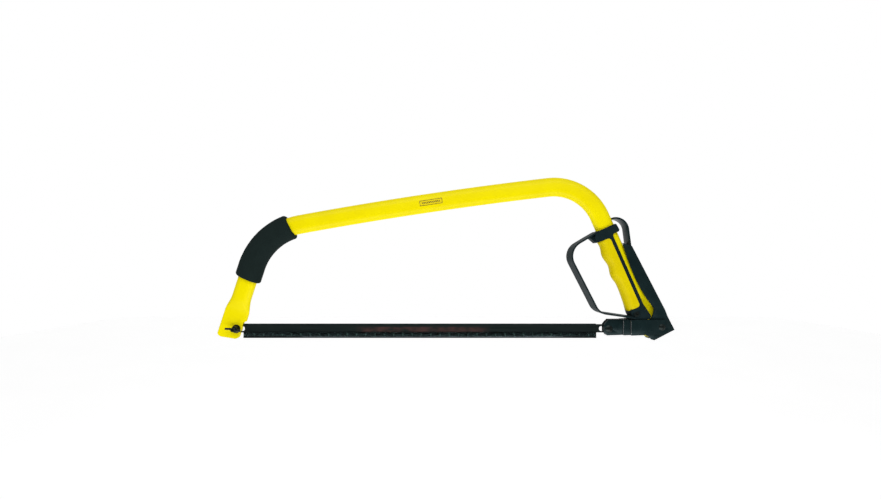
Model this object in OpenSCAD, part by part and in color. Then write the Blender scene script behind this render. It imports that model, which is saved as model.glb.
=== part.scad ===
// Tubular bow saw with an over-centre tension lever.
// X runs along the blade towards the rear handle, Y is the thickness and Z is up.
// Inside the modules, X and Z are measured from the front blade bolt, and saw() then
// moves the whole model so that its origin is the hanging point under the top tube.

/* [Blade] */
// Distance between the front bolt and the rear blade pin
pin_span = 600; // [560:1:640]
// Length of the toothed body between the two tangs
body_len = 570; // [520:1:572]
// Overall length of the blade
blade_len = 614; // [600:1:650]
// Height of the blade above the pins
blade_top = 8; // [7:0.5:9]
// Depth of the tooth points below the pins
tooth_tip = 13.6; // [12:0.2:15]
// Depth of a tooth from point to gullet
tooth_depth = 5.6; // [3:0.2:7]
// Distance from one tooth to the next
tooth_pitch = 5; // [4:0.5:7]
// Thickness of the blade steel
blade_t = 1; // [0.8:0.1:1.2]
// Height of each tang
tang_h = 13.4; // [12:0.2:15]
// Length of the slot in each tang
slot_len = 17.5; // [16:0.5:19]
// Height of the slot in each tang
slot_h = 8; // [7:0.5:9]
// Height of the clip-on tooth guard
cover_h = 9.5; // [8:0.5:11]
// Thickness of the clip-on tooth guard
cover_t = 3.6; // [3:0.2:4]

/* [Tube] */
// Long side of the oval tube section
tube_w = 30.4; // [28:0.2:32]
// Short side of the oval tube section
tube_t = 16; // [14:0.5:18]
// Wall of the tube
wall = 1.7; // [1.5:0.1:1.8]
// Thickness of the pressed flat ends
flat_t = 5; // [4.8:0.1:5.4]
// Width of the pressed flat ends
flat_w = 39.3; // [37:0.1:40]
// Heading of the rear leg, from the lever pivot upwards
rear_heading = 113.8; // [112:0.1:115]
// Turn of the rear bend
rear_turn = 72.8; // [72:0.1:74]
// Turn of the long arch along the top
top_turn = 3.8; // [3.6:0.1:4]
// Turn of the front bend
front_turn = 61.6; // [61:0.1:62]
// Axis radius of the rear bend
rear_r = 81.2; // [78:0.2:84]
// Axis radius of the long arch
top_r = 6130; // [6000:5:6200]
// Axis radius of the front bend
front_r = 101; // [98:0.5:104]
// Straight length of the rear leg above the lever pivot
rear_leg = 196.9; // [190:0.1:200]

/* [Tension lever] */
// Thickness of the lever sheet
sheet = 2; // [1.6:0.1:2.4]
// Half width inside the lever channel along the handle
lever_in = 9; // [8.6:0.1:10]
// Half width inside the lever channel at the pivot
fork_in = 6.4; // [6:0.1:6.6]
// Radius of the lobe round the lever pivot
lobe_r = 13.4; // [12.8:0.1:14]
// Outside radius of the finger curl
curl_r = 21.5; // [20:0.5:23]
// Thickness of the finger curl
curl_t = 2.7; // [2:0.1:3]
// Width of the finger curl
curl_w = 17.4; // [16:0.2:17.6]

/* [Link] */
// Thickness of each link plate
plate_t = 2.2; // [1.8:0.1:2.4]
// Half gap between the link plates at the blade
gap_nose = 2.4; // [2.2:0.1:2.6]
// Half gap between the link plates in the middle step
gap_mid = 6.3; // [5.8:0.1:6.6]
// Half gap between the link plates over the frame pivot
gap_wide = 10.2; // [9.8:0.1:10.6]
// Half gap between the link plates at the lever
gap_tail = 8.8; // [8.7:0.1:9.2]

/* [Handle] */
// Half thickness of the grip and of the guard's collars
grip_half = 11; // [10.5:0.1:12]
// How far the grip's front stands from the tube axis
grip_front = 20.8; // [20:0.1:23]
// Depth of the finger waves on the grip
wave = 1.4; // [0.4:0.1:1.6]
// Width of the knuckle guard strap
strap_w = 28; // [24:1:32]
// Thickness of the knuckle guard strap
strap_t = 2.5; // [2:0.1:3.5]
// Wall of the foam sleeve on the front bend
foam_wall = 5.4; // [4:0.1:7]

/* [Fasteners] */
// Radius of the front bolt
bolt_r = 3; // [2.5:0.1:3.2]
// Radius of the blade pin in the link
pin_r = 2.5; // [2:0.1:3]
// Radius of the rivet at the lever pivot
pivot_r = 4; // [3.5:0.1:4.5]
// Radius of the rivet that joins the link to the lever
link_r = 3.5; // [3:0.1:4]
// Radial running clearance of the rivets
running = 0.05; // [0.02:0.01:0.1]
// Radius of the screw through the guard's lower collar
screw_r = 2.5; // [2:0.1:3]

/* [Hidden] */
$fn = 64;
big = 400;
sliver = 0.02;

yellow = [0.96, 0.9, 0.02];
black = [0.1, 0.13, 0.14];
steel = [0.5, 0.52, 0.54];
smoke = [0.16, 0.17, 0.18];
foam_grey = [0.13, 0.16, 0.17];
paper = [0.97, 0.84, 0.05];

// The four centres of the mechanism, as [X, Z] from the front bolt.
front_pin = [0, 0];
rear_pin = [pin_span, 0];
pivot = rear_pin + [66.5, 0.5];
link_pin = rear_pin + [81.4, 3.9];

// A path is worked out as [X, Z, heading] from one piece to the next. All turns are left.
function ahead(p, len) = [p[0] + len * cos(p[2]), p[1] + len * sin(p[2]), p[2]];
function centre(p, r) = [p[0] - r * sin(p[2]), p[1] + r * cos(p[2])];
function turned(p, r, a) =
    let (c = centre(p, r), h = p[2] + a)
    [c[0] + r * sin(h), c[1] - r * cos(h), h];

// Stations along the tube, from the lever pivot up and forwards.
tube_a = [pivot[0], pivot[1], rear_heading];
tube_b = ahead(tube_a, rear_leg);
tube_c = turned(tube_b, rear_r, rear_turn);
tube_d = turned(tube_c, top_r, top_turn);
tube_e = turned(tube_d, front_r, front_turn);
leg_heading = tube_e[2] - 180;

// The hanging point, on the underside of the top tube above the centre of mass.
peg_at = 0.28;
peg = on_path(turned(tube_c, top_r, top_turn * peg_at), -tube_w / 2, 0);

// The front leg, seen from the bolt with its own Z up the leg.
leg_s = tube_e[0] * cos(leg_heading) + tube_e[1] * sin(leg_heading);
leg_t = tube_e[0] * sin(leg_heading) - tube_e[1] * cos(leg_heading);
front_flat = 24;
front_oval = 51;
rear_flat = 40;
rear_oval = 62;
leg_end = -21;
end_tilt = 8.8;
end_r = [9, 6.5];
seat_edge = 7.2;
seat_top = 11.5;
tongue_r = 14;
tongue_top = 16;
notch_top = 17;
hole_room = 0.2;

// Points round the tube's section, and how far its long sides bulge: 0 is flat, 1 an ellipse.
ring_n = 32;
belly = 0.5;

// The bush and the spacers at the lever pivot, and the spacer on the link rivet.
bush_r = pivot_r + 1.5;
pivot_spacer_r = 9;
link_spacer_r = 5;

// The foam sleeve starts this many degrees into the bend and runs on down the leg. Its ends
// lean, because the sleeve was straight before it was pulled round the bend.
foam_lead = 11;
foam_tail = 18;
foam_lean = 0.115;
// Its rounded ends, as [distance, how much smaller the section is].
foam_round = 3;
foam_ends = [[0, 5], [0.8, 2.4], [1.8, 0.8]];

// The label on the tube, placed by its share of the arch.
label_at = 0.47;
label_l = 37;
label_w = 9;
label_t = 0.25;

// The screw through the lower collar, in the handle's frame, and the collar's half thickness.
guard_screw_at = [-13, 32.5];
low_half = 9.5;
guard_head = [4.6, 2];
guard_key_r = 1.6;
guard_nut_r = 4.8;
guard_nut_h = 3.5;

// The grip, with heights measured up the handle from the lever pivot.
grip_low = 41.5;
grip_high = 161;
rail_half = 2.8;
wave_step = 34.5;
wave_top = 101.5;
wave_low = wave_top - wave_step / 2;
flare = 3.5;

// The knuckle guard strap, from the upper collar down and back to the lower one.
strap_top = 34.6;
strap_front = 77.7;
strap_low = 47.3;
top_bend = [26, 86.1];
low_bend = [22, 54.6];
strap_a = [pivot[0] - 87.2, pivot[1] + 156.5, 211];
strap_b = ahead(strap_a, strap_top);
strap_c = turned(strap_b, top_bend[0], top_bend[1]);
strap_d = ahead(strap_c, strap_front);
strap_e = turned(strap_d, low_bend[0], low_bend[1]);

// The lever's back edge in the handle's frame, and where its web stops above the fork.
lever_back_top = [23.6, 134.8];
lever_back_low = [33, -15.6];
web_low = -6;

// The cheeks' hollow front edge: its deepest point, and how fast it comes forward above and below.
front_deep = [8, 88];
front_rise = [0.00125, 0.0023];
fork_room = 17;

// The joggle from the fork to the wide channel, as heights across a slightly tilted line.
joggle_low = 15;
joggle_high = 27;
joggle_tilt = 13;

// The finger curl: its centre, the angles it runs between and its straight leg.
curl_centre = pivot + [-57.5, 157.5];
curl_from = 7.4;
curl_to = 100;
curl_leg = 29;

// The link plates along X from the blade pin: two steps outwards, then back in at the tail.
link_nose = -7.8;
step_mid = 21.8;
step_wide = 32.1;
tail_from = 67.8;
tail_full = 71.6;
link_tail = 87.4;

// Domed heads, as [radius, height], and how far a shank runs up into its head.
pin_head = [6, 2];
link_head = [5.2, 1.8];
bolt_head = [7, 3.4];
head_grip = 0.5;

// The blade's middle, half of the distance between its slots, the foot of the tangs and how far
// the toothed body lies in front of the middle.
blade_mid = pin_span / 2 - 1;
slot_at = 295.2;
tang_low = -6.3;
body_shift = 3.2;

// The flat between two teeth, and how much shorter each third tooth is, the raker.
gullet_flat = 1.4;
raker_drop = 0.4;

// The tooth guard hangs clear of the teeth below, with a slot a little wider than the blade.
cover_low = -15;
cover_room = 0.6;
cover_floor = 1;

// The wing nut and its washers on the front bolt.
washer_t = 1.2;
washer_r = 6.8;
nut_h = 6;
hub_low_r = 5.6;
hub_top_r = 4.6;
bolt_spare = 5;
wing_tilt = 9;
wing_t = 3.4;

// Moves the whole model from the front bolt to the hanging point.
module saw() {
    translate(-peg) children();
}

// Puts children at a place with their own Z along a heading and X to its right.
module along(p, heading) {
    translate([p[0], 0, p[1]]) rotate([0, 90 - heading, 0]) children();
}

module handle() {
    along(pivot, rear_heading) children();
}

module front_leg() {
    along(front_pin, leg_heading) children();
}

// A section carried straight ahead or round a left bend.
module straight(p, len) {
    along(p, p[2]) linear_extrude(len) children();
}

module bend(p, r, a) {
    c = centre(p, r);
    translate([c[0], 0, c[1]]) rotate([90, 0, 0]) rotate([0, 0, p[2] - 90])
        rotate_extrude(angle = a) translate([r, 0]) children();
}

// An outline drawn in X and Z, given a thickness about the mid plane.
module slab(t) {
    rotate([90, 0, 0]) linear_extrude(t, center = true) children();
}

// A rod across the saw, from one Y to another.
module rod(r, y0, y1) {
    translate([0, y1, 0]) rotate([90, 0, 0]) cylinder(r = r, h = y1 - y0);
}

module at_point(p) {
    translate([p[0], 0, p[1]]) children();
}

module ring(r_out, r_in, y0, y1) {
    difference() {
        rod(r_out, y0, y1);
        rod(r_in, y0 - 1, y1 + 1);
    }
}

// A loft through closed rings of points, all with the same count.
module loft(rings) {
    n = len(rings[0]);
    last = len(rings) - 1;
    polyhedron(
        points = [for (r = rings) each r],
        faces = concat(
            [[for (i = [0:n - 1]) i]],
            [for (k = [0:last - 1]) for (i = [0:n - 1]) let (j = (i + 1) % n)
                [k * n + i, k * n + n + i, k * n + n + j, k * n + j]],
            [[for (i = [n - 1:-1:0]) last * n + i]]
        )
    );
}

// A point of a section, u to the right of the path and v across it.
function on_path(p, u, v) = [p[0] + u * sin(p[2]), v, p[1] - u * cos(p[2])];

// A ring of the tube: belly 0 has flat sides, belly 1 is an ellipse.
// With a lean, one side of the ring lies further along the path than the other.
function oval_ring(p, w, t, belly, lean = 0) = [
    for (i = [0:ring_n - 1])
        let (a = 360 * (i + 0.5) / ring_n, k = 1 / cos(180 / ring_n), half = t / 2 * k,
            flat = sign(cos(a)) * (w - t) / 2 + half * cos(a),
            u = belly * w / 2 * k * cos(a) + (1 - belly) * flat)
        on_path(ahead(p, lean * u), u, half * sin(a))
];

// Stations round a bend, without its first one.
function round_bend(p, r, a, n) = [for (i = [1:n]) turned(p, r, a * i / n)];

// The oval part of the tube, from the rear leg to the front leg.
oval_path = concat(
    [ahead(tube_a, rear_oval), tube_b],
    round_bend(tube_b, rear_r, rear_turn, 14),
    round_bend(tube_c, top_r, top_turn, 6),
    round_bend(tube_d, front_r, front_turn, 10),
    [ahead(tube_e, leg_s - front_oval)]
);

// The tube as a solid: inset 0 is the outside and the wall is the hollow inside.
module tube_sweep(inset) {
    w = tube_w - 2 * inset;
    t = tube_t - 2 * inset;
    fw = flat_w - 2 * inset;
    ft = flat_t - 2 * inset;
    loft(concat(
        [for (s = [-tongue_r - 2, rear_flat]) oval_ring(ahead(tube_a, s), fw, ft, 0)],
        [for (p = oval_path) oval_ring(p, w, t, belly)],
        [for (s = [front_flat, leg_end - 2]) oval_ring(ahead(tube_e, leg_s - s), fw, ft, 0)]
    ));
}

module tube_solid() {
    difference() {
        tube_sweep(0);
        handle() slab(tube_t) difference() {
            translate([-flat_w, -flat_w]) square([2 * flat_w, flat_w + tongue_top]);
            rear_outline();
        }
        front_leg() slab(tube_t) difference() {
            translate([leg_t - flat_w, -flat_w]) square([2 * flat_w, flat_w + notch_top]);
            front_outline();
        }
    }
}

module rear_outline() {
    circle(tongue_r);
    polygon([
        [-tongue_r, 0], [tongue_r, 0], [flat_w / 2 + 1, tongue_top],
        [flat_w / 2 + 1, rear_flat], [-flat_w / 2 - 1, rear_flat], [-flat_w / 2 - 1, tongue_top]
    ]);
}

// The front end slopes a little between its two round corners.
module front_outline() {
    left = leg_t - flat_w / 2 - 1;
    right = leg_t + flat_w / 2 + 1;
    function corner(t, r) = [t, leg_end + (t - left) * tan(end_tilt) + r / cos(end_tilt)];
    corner_a = corner(left + end_r[0], end_r[0]);
    corner_b = corner(seat_edge - end_r[1], end_r[1]);
    down = [sin(end_tilt), -cos(end_tilt)];
    translate(corner_a) circle(end_r[0]);
    translate(corner_b) circle(end_r[1]);
    polygon([
        [left, corner_a[1]], corner_a + end_r[0] * down, corner_b + end_r[1] * down,
        [seat_edge, corner_b[1]], [seat_edge, seat_top], [right, notch_top],
        [right, front_flat], [left, front_flat]
    ]);
}

module frame_tube() {
    color(yellow) saw() difference() {
        tube_solid();
        tube_sweep(wall);
        at_point(pivot) rod(bush_r, -tube_t, tube_t);
        at_point(front_pin) rod(bolt_r + hole_room, -tube_t, tube_t);
        handle() at_point(guard_screw_at) rod(screw_r + hole_room, -tube_t, tube_t);
        at_point(pivot) slab(tube_t) spacer_path();
    }
}

// The tongue is cut back where the link rivet's spacer swings past it.
module spacer_path() {
    reach = norm(link_pin - pivot) - link_spacer_r - 0.4;
    difference() {
        polygon([for (p = [[0, 0], [3, -88], [4, -25], [3, 38]]) p[0] * reach * [cos(p[1]), sin(p[1])]]);
        circle(reach);
    }
}

// The foam sleeve, with its ends rounded over.
module foam_grip() {
    start = turned(tube_d, front_r, foam_lead);
    path = concat([start], round_bend(start, front_r, front_turn - foam_lead, 9));
    last = len(path) - 1;
    w = tube_w + 2 * foam_wall;
    t = tube_t + 2 * foam_wall;
    color(foam_grey) saw() difference() {
        loft(concat(
            [for (e = foam_ends)
                oval_ring(ahead(start, e[0] - foam_round), w - e[1], t - e[1], belly, foam_lean)],
            [for (i = [0:last]) oval_ring(path[i], w, t, belly, foam_lean * (1 - 2 * i / last))],
            [for (i = [len(foam_ends) - 1:-1:0]) let (e = foam_ends[i], p = ahead(tube_e, foam_tail))
                oval_ring(ahead(p, foam_round - e[0]), w - e[1], t - e[1], belly, -foam_lean)]
        ));
        tube_sweep(0);
    }
}

// A thin plate on the near side of the top tube.
module frame_label() {
    mid = turned(tube_c, top_r, top_turn * label_at);
    color(paper) saw() intersection() {
        difference() {
            loft([for (d = [-1, 1]) oval_ring(ahead(mid, d * label_l / 2),
                tube_w + 2 * label_t, tube_t + 2 * label_t, belly)]);
            tube_sweep(0);
        }
        along(mid, mid[2]) translate([-label_w / 2, -tube_t, -label_l])
            cube([label_w, tube_t, 2 * label_l]);
    }
}

module strap() {
    module section() {
        translate([-strap_t / 2, 0]) square([strap_t, strap_w], center = true);
    }
    straight(strap_a, strap_top + sliver) section();
    bend(strap_b, top_bend[0], top_bend[1]) section();
    straight(strap_c, strap_front + sliver) section();
    bend(strap_d, low_bend[0], low_bend[1]) section();
    straight(strap_e, strap_low) section();
}

module upper_collar() {
    polygon([
        [-17, 177.5], [15, 178], [16.2, 166.5], [14, 164.3], [rail_half, 164.3],
        [rail_half, 156], [-rail_half, 156], [-8, 160.6], [-25, 161.3], [-31.5, 174.5]
    ]);
}

module lower_collar() {
    polygon([
        [-22.5, 41.3], [-13, 41.3], [-rail_half, 46.5], [rail_half, 46.5], [7.5, 20.5],
        [4.5, 17.4], [0, 14.5], [-15, 11], [-20.8, 14.5], [-20.8, 24.5], [-19, 27.5], [-23, 34]
    ]);
}

module rails() {
    translate([-rail_half, 40]) square([2 * rail_half, 120]);
}

module knuckle_guard() {
    color(black) saw() difference() {
        union() {
            handle() slab(2 * grip_half) upper_collar();
            handle() slab(2 * grip_half) rails();
            handle() slab(2 * low_half) lower_collar();
            handle() ribs();
            strap();
        }
        tube_sweep(0);
        handle() translate([8, -7, 150]) cube([20, 14, 40]);
        at_point(pivot) rod(fork_room, -big, big);
        handle() at_point(guard_screw_at) rod(screw_r, -big, big);
    }
}

// Two sloping ribs on each side of the lower collar, as [place, length].
module ribs() {
    for (rib = [[[-2.2, 31.5], 14.8], [[-3, 37.5], 9]])
        at_point(rib[0]) rotate([0, -26, 0])
            cube([rib[1], 2 * low_half + 1, 1.4], center = true);
}

// The side view of the grip's front: two finger waves, then a hollow that flares at the bottom.
function grip_edge(s) =
    s > wave_low
    ? -grip_front - wave * cos(360 * (s - wave_top) / wave_step)
    : -grip_front + wave - flare * pow((wave_low - s) / (wave_low - grip_low), 2);

// One ring of the grip: a half circle at the front and straight sides.
function grip_ring(s) =
    let (p = ahead(tube_a, s), edge = grip_edge(s), mid = edge + grip_half, n = 16)
    concat(
        [on_path(p, -rail_half, grip_half)],
        [for (i = [0:n]) let (a = 90 + 180 * i / n)
            on_path(p, mid + grip_half * cos(a), grip_half * sin(a))],
        [on_path(p, -rail_half, -grip_half)]
    );

module grip_cover(side) {
    n = 30;
    color(yellow) saw() difference() {
        loft([for (i = [0:n]) grip_ring(grip_low + (grip_high - grip_low) * i / n)]);
        tube_sweep(0);
        handle() slab(big) upper_collar();
        handle() slab(big) lower_collar();
        translate([0, side > 0 ? -big : 0, 0]) cube([2 * pin_span, big, big]);
    }
}

module grip_cover_near() {
    grip_cover(-1);
}

module grip_cover_far() {
    grip_cover(1);
}

module guard_screw() {
    color(black) saw() handle() at_point(guard_screw_at) {
        rod(screw_r, -low_half, low_half + guard_nut_h + 1.5);
        difference() {
            rod(guard_head[0], -low_half - guard_head[1], -low_half);
            rod(guard_key_r, -low_half - 3, -low_half - 0.8);
        }
    }
}

module guard_nut() {
    color(black) saw() handle() at_point(guard_screw_at)
        difference() {
            translate([0, low_half + guard_nut_h, 0]) rotate([90, 0, 0])
                cylinder(r = guard_nut_r, h = guard_nut_h, $fn = 6);
            rod(screw_r, 0, 30);
        }
}

module pivot_bush() {
    color(steel) saw() at_point(pivot)
        ring(bush_r, pivot_r + running, 0.2 - fork_in, fork_in - 0.2);
}

module pivot_spacers() {
    color(steel) saw() at_point(pivot) for (side = [0, 1]) mirror([0, side, 0])
        ring(pivot_spacer_r, bush_r, flat_t / 2, fork_in - 0.2);
}

function lever_front(s) =
    front_deep[0] + front_rise[s > front_deep[1] ? 0 : 1] * pow(s - front_deep[1], 2);

// The lever seen from the side, in the handle's frame.
module lever_outline() {
    circle(lobe_r);
    polygon(concat(
        [lever_back_low, lever_back_top],
        [for (i = [0:14]) let (s = 145 - 115 * i / 14) [lever_front(s), s]],
        [[9.5, 19], [0, lobe_r - 0.6], [-8.6, -10.2], [-7.2, -14.8], [-3.4, -17.9]]
    ));
}

// Where the channel is open, between the cheeks and in front of the web.
module lever_inside() {
    polygon([
        [-40, -40], [60, -40], [60, web_low], [lever_back_low[0] - sheet - 0.6, web_low],
        lever_back_top - [sheet, 0], lever_back_top + [-sheet, 70], [-40, 200]
    ]);
}

// The channel's width: narrow at the fork, then a joggle to the wide part.
module lever_width(fork, wide) {
    rotate([0, joggle_tilt, 0]) rotate([90, 0, 90]) linear_extrude(big, center = true)
        polygon([
            [-fork, -90], [fork, -90], [fork, joggle_low], [wide, joggle_high], [wide, 220],
            [-wide, 220], [-wide, joggle_high], [-fork, joggle_low]
        ]);
}

module finger_curl() {
    at_point(curl_centre) rotate([90, 0, 0]) rotate([0, 0, curl_from]) {
        rotate_extrude(angle = curl_to - curl_from)
            translate([curl_r - curl_t, -curl_w / 2]) square([curl_t, curl_w]);
        translate([curl_r - curl_t, -curl_leg, -curl_w / 2])
            cube([curl_t, curl_leg + sliver, curl_w]);
    }
}

module tension_lever() {
    color(black) saw() difference() {
        union() {
            handle() difference() {
                intersection() {
                    slab(4 * grip_half) lever_outline();
                    lever_width(fork_in + sheet, lever_in + sheet);
                }
                intersection() {
                    slab(4 * grip_half) lever_inside();
                    lever_width(fork_in, lever_in);
                }
            }
            finger_curl();
        }
        at_point(pivot) rod(pivot_r, -big, big);
        at_point(pivot) for (side = [0, 1]) mirror([0, side, 0]) countersink();
        at_point(link_pin) rod(link_r, -big, big);
    }
}

module countersink() {
    depth = 0.7 * sheet;
    translate([0, -fork_in - sheet, 0]) rotate([-90, 0, 0])
        cylinder(r1 = pivot_r + depth, r2 = pivot_r, h = depth);
}

module pivot_rivet() {
    color(steel) saw() at_point(pivot) {
        rod(pivot_r, -fork_in - sheet, fork_in + sheet);
        for (side = [0, 1]) mirror([0, side, 0]) countersink();
    }
}

// A domed head on the outside of a plate, facing -Y.
module dome(head, y) {
    r = head[0];
    h = head[1];
    ball = (r * r + h * h) / (2 * h);
    translate([0, y, 0]) intersection() {
        translate([0, ball - h, 0]) sphere(ball);
        rod(r, -h, 0);
    }
}

module link_rivet() {
    face = gap_tail + plate_t + 0.15;
    color(steel) saw() at_point(link_pin) {
        rod(link_r, -face - head_grip, face + head_grip);
        for (side = [0, 1]) mirror([0, side, 0]) dome(link_head, -face);
    }
}

module link_spacer() {
    color(steel) saw() at_point(link_pin) ring(link_spacer_r, link_r, 0.1 - fork_in, fork_in - 0.1);
}

// The link seen from the side and from above.
module link_outline() {
    polygon([
        [link_nose, -4], [link_nose, 7.2], [-3.2, 12.9], [-2.2, 13.2], [-0.6, 15.3],
        [link_tail, 16], [link_tail, -7.2], [-3.2, -10.3]
    ]);
}

module link_plan() {
    t = plate_t;
    polygon([
        [link_nose - 1, gap_nose], [step_mid + t, gap_nose], [step_mid + t, gap_mid],
        [step_wide + t, gap_mid], [step_wide + t, gap_wide], [tail_from, gap_wide],
        [tail_full, gap_tail], [link_tail + 1, gap_tail], [link_tail + 1, gap_tail + t],
        [tail_full, gap_tail + t], [tail_from, gap_wide + t], [step_wide, gap_wide + t],
        [step_wide, gap_mid + t], [step_mid, gap_mid + t], [step_mid, gap_nose + t],
        [link_nose - 1, gap_nose + t]
    ]);
}

module link_plate(side) {
    color(black) saw() at_point(rear_pin) difference() {
        intersection() {
            slab(big) link_outline();
            mirror([0, side > 0 ? 0 : 1, 0]) linear_extrude(60, center = true) link_plan();
        }
        rod(pin_r, -big, big);
        at_point(link_pin - rear_pin) rod(link_r + running, -big, big);
    }
}

module link_plate_near() {
    link_plate(-1);
}

module link_plate_far() {
    link_plate(1);
}

module blade_pin() {
    face = gap_nose + plate_t;
    color(steel) saw() at_point(rear_pin) {
        rod(pin_r, -face - head_grip, face + head_grip);
        for (side = [0, 1]) mirror([0, side, 0]) dome(pin_head, -face);
    }
}

module pin_spacers() {
    color(steel) saw() at_point(rear_pin) for (side = [0, 1]) mirror([0, side, 0])
        ring(2 * pin_r + 0.5, pin_r, blade_t / 2 + 0.3, gap_nose);
}

module blade_slot() {
    r = slot_h / 2;
    square([slot_len - slot_h, slot_h], center = true);
    translate([slot_len / 2 - r, 0]) circle(r);
    translate([r - slot_len / 2, 0]) circle(r);
}

// The toothed body, with every tooth drawn down from the gullet line.
module teeth() {
    n = floor(body_len / tooth_pitch);
    gullet = tooth_depth - tooth_tip;
    half = (tooth_pitch - gullet_flat) / 2;
    points = [for (i = [0:n - 1])
        let (x = (i - (n - 1) / 2) * tooth_pitch, drop = i % 3 == 2 ? raker_drop : 0)
        each [[x - half, gullet], [x, drop - tooth_tip], [x + half, gullet]]];
    polygon(concat(
        [[-body_len / 2, blade_top], [-body_len / 2, gullet]], points,
        [[body_len / 2, gullet], [body_len / 2, blade_top]]
    ));
}

module blade() {
    color(steel) saw() translate([blade_mid, 0, 0]) difference() {
        slab(blade_t) union() {
            translate([-body_shift, 0]) teeth();
            translate([-blade_len / 2, tang_low]) square([blade_len, tang_h]);
        }
        for (side = [-1, 1]) translate([side * slot_at, 0, 0]) slab(10) blade_slot();
    }
}

module blade_cover() {
    inner = blade_t + cover_room;
    color(smoke) saw() translate([blade_mid - body_shift, 0, cover_low]) difference() {
        translate([-body_len / 2, -cover_t / 2, 0]) cube([body_len, cover_t, cover_h]);
        translate([-big, -inner / 2, cover_floor]) cube([2 * big, inner, cover_h]);
    }
}

module front_bolt() {
    face = flat_t / 2 + washer_t;
    color(black) saw() at_point(front_pin) {
        rod(bolt_r, -face - nut_h - bolt_spare, face + head_grip);
        mirror([0, 1, 0]) dome(bolt_head, -face);
    }
}

module bolt_washer() {
    color(steel) saw() at_point(front_pin)
        ring(washer_r + 0.7, bolt_r + hole_room, flat_t / 2, flat_t / 2 + washer_t);
}

module nut_washer() {
    color(black) saw() at_point(front_pin)
        ring(washer_r, bolt_r + hole_room, -flat_t / 2 - washer_t - 0.05, -flat_t / 2 - 0.05);
}

// Two upswept wings on a tapered hub, threaded on the front bolt.
module wing_nut() {
    base = flat_t / 2 + washer_t + 0.1;
    color(black) saw() at_point(front_pin) difference() {
        union() {
            translate([0, -base, 0]) rotate([90, 0, 0]) cylinder(r1 = hub_low_r, r2 = hub_top_r, h = nut_h);
            rotate([0, wing_tilt, 0]) for (side = [0, 1]) mirror([side, 0, 0]) wing(base);
        }
        rod(bolt_r + running, -big, big);
    }
}

module wing(base) {
    linear_extrude(wing_t, center = true) {
        polygon([
            [3, -base - 1], [8, -base - 3.2], [12.6, -base - 7], [12.6, -base - 10.5],
            [8, -base - 9.5], [3, -base - nut_h + 0.2]
        ]);
        translate([10.6, -base - 8.6]) circle(2.6);
    }
}

frame_tube();
foam_grip();
frame_label();
knuckle_guard();
grip_cover_near();
grip_cover_far();
guard_screw();
guard_nut();
pivot_bush();
pivot_spacers();
tension_lever();
pivot_rivet();
link_rivet();
link_spacer();
link_plate_near();
link_plate_far();
blade_pin();
pin_spacers();
blade();
blade_cover();
front_bolt();
bolt_washer();
nut_washer();
wing_nut();
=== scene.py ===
"""The looks of a tubular bow saw with an over-centre tension lever, in soft white light.

X runs along the blade, Y across the saw and Z up. Lengths are millimetres, with X and Z
measured from the front bolt, until to_frame() turns them into the frame's metres.
"""
from math import atan2, cos, pi, radians, sin, sqrt, tan

import bmesh
import bpy
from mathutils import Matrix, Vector, noise


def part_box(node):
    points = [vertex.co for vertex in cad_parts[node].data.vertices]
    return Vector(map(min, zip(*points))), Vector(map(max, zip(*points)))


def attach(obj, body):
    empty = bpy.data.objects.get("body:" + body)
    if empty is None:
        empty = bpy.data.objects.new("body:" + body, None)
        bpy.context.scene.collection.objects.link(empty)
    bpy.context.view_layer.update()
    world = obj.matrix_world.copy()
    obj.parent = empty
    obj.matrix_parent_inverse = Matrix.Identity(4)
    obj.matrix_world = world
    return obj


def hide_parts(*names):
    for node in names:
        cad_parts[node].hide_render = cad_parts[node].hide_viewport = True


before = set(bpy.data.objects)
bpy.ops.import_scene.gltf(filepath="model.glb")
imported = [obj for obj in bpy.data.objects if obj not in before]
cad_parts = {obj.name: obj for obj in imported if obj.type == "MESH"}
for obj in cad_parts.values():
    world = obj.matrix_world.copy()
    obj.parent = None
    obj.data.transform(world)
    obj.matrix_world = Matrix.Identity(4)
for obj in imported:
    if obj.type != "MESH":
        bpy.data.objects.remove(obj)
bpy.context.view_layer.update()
scene = bpy.context.scene

MM = 0.001


def middle(node):
    """The middle of a CAD node's box, in the frame's metres."""
    low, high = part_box(node)
    return (low + high) / 2


BOLT = middle("front_bolt")


def from_bolt(node):
    """A CAD node's middle as X and Z from the front bolt."""
    place = (middle(node) - BOLT) / MM
    return place.x, place.z


PIN = from_bolt("blade_pin")
PIVOT = from_bolt("pivot_rivet")
LINK = from_bolt("link_rivet")

# The oval tube: its section, its pressed flat ends and the run of its axis.
TUBE_W, TUBE_T, WALL, BELLY = 30.4, 16, 1.7, 0.5
FLAT_W, FLAT_T = 39.3, 5
REAR_LEG, REAR_R, REAR_TURN = 196.9, 81.2, 72.8
TOP_R, TOP_TURN = 6130, 3.8
FRONT_R, FRONT_TURN = 101, 61.6
REAR_FLAT, REAR_OVAL, TONGUE_R, TONGUE_TOP = 40, 62, 14, 16
FRONT_FLAT, FRONT_OVAL, LEG_END = 24, 51, -21

# The handle: the grip's ends, half thickness and finger waves, and the guard's parts.
GRIP_LOW, GRIP_HIGH, GRIP_HALF, GRIP_FRONT = 41.5, 161, 11, 20.8
WAVE, WAVE_STEP, WAVE_TOP, FLARE = 1.4, 34.5, 101.5, 3.5
RAIL_HALF, LOW_HALF, GUSSET_HALF, SCREW_AT = 2.8, 9.5, 6, (-13, 32.5)
STRAP_W, STRAP_T = 28, 2.5

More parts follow.
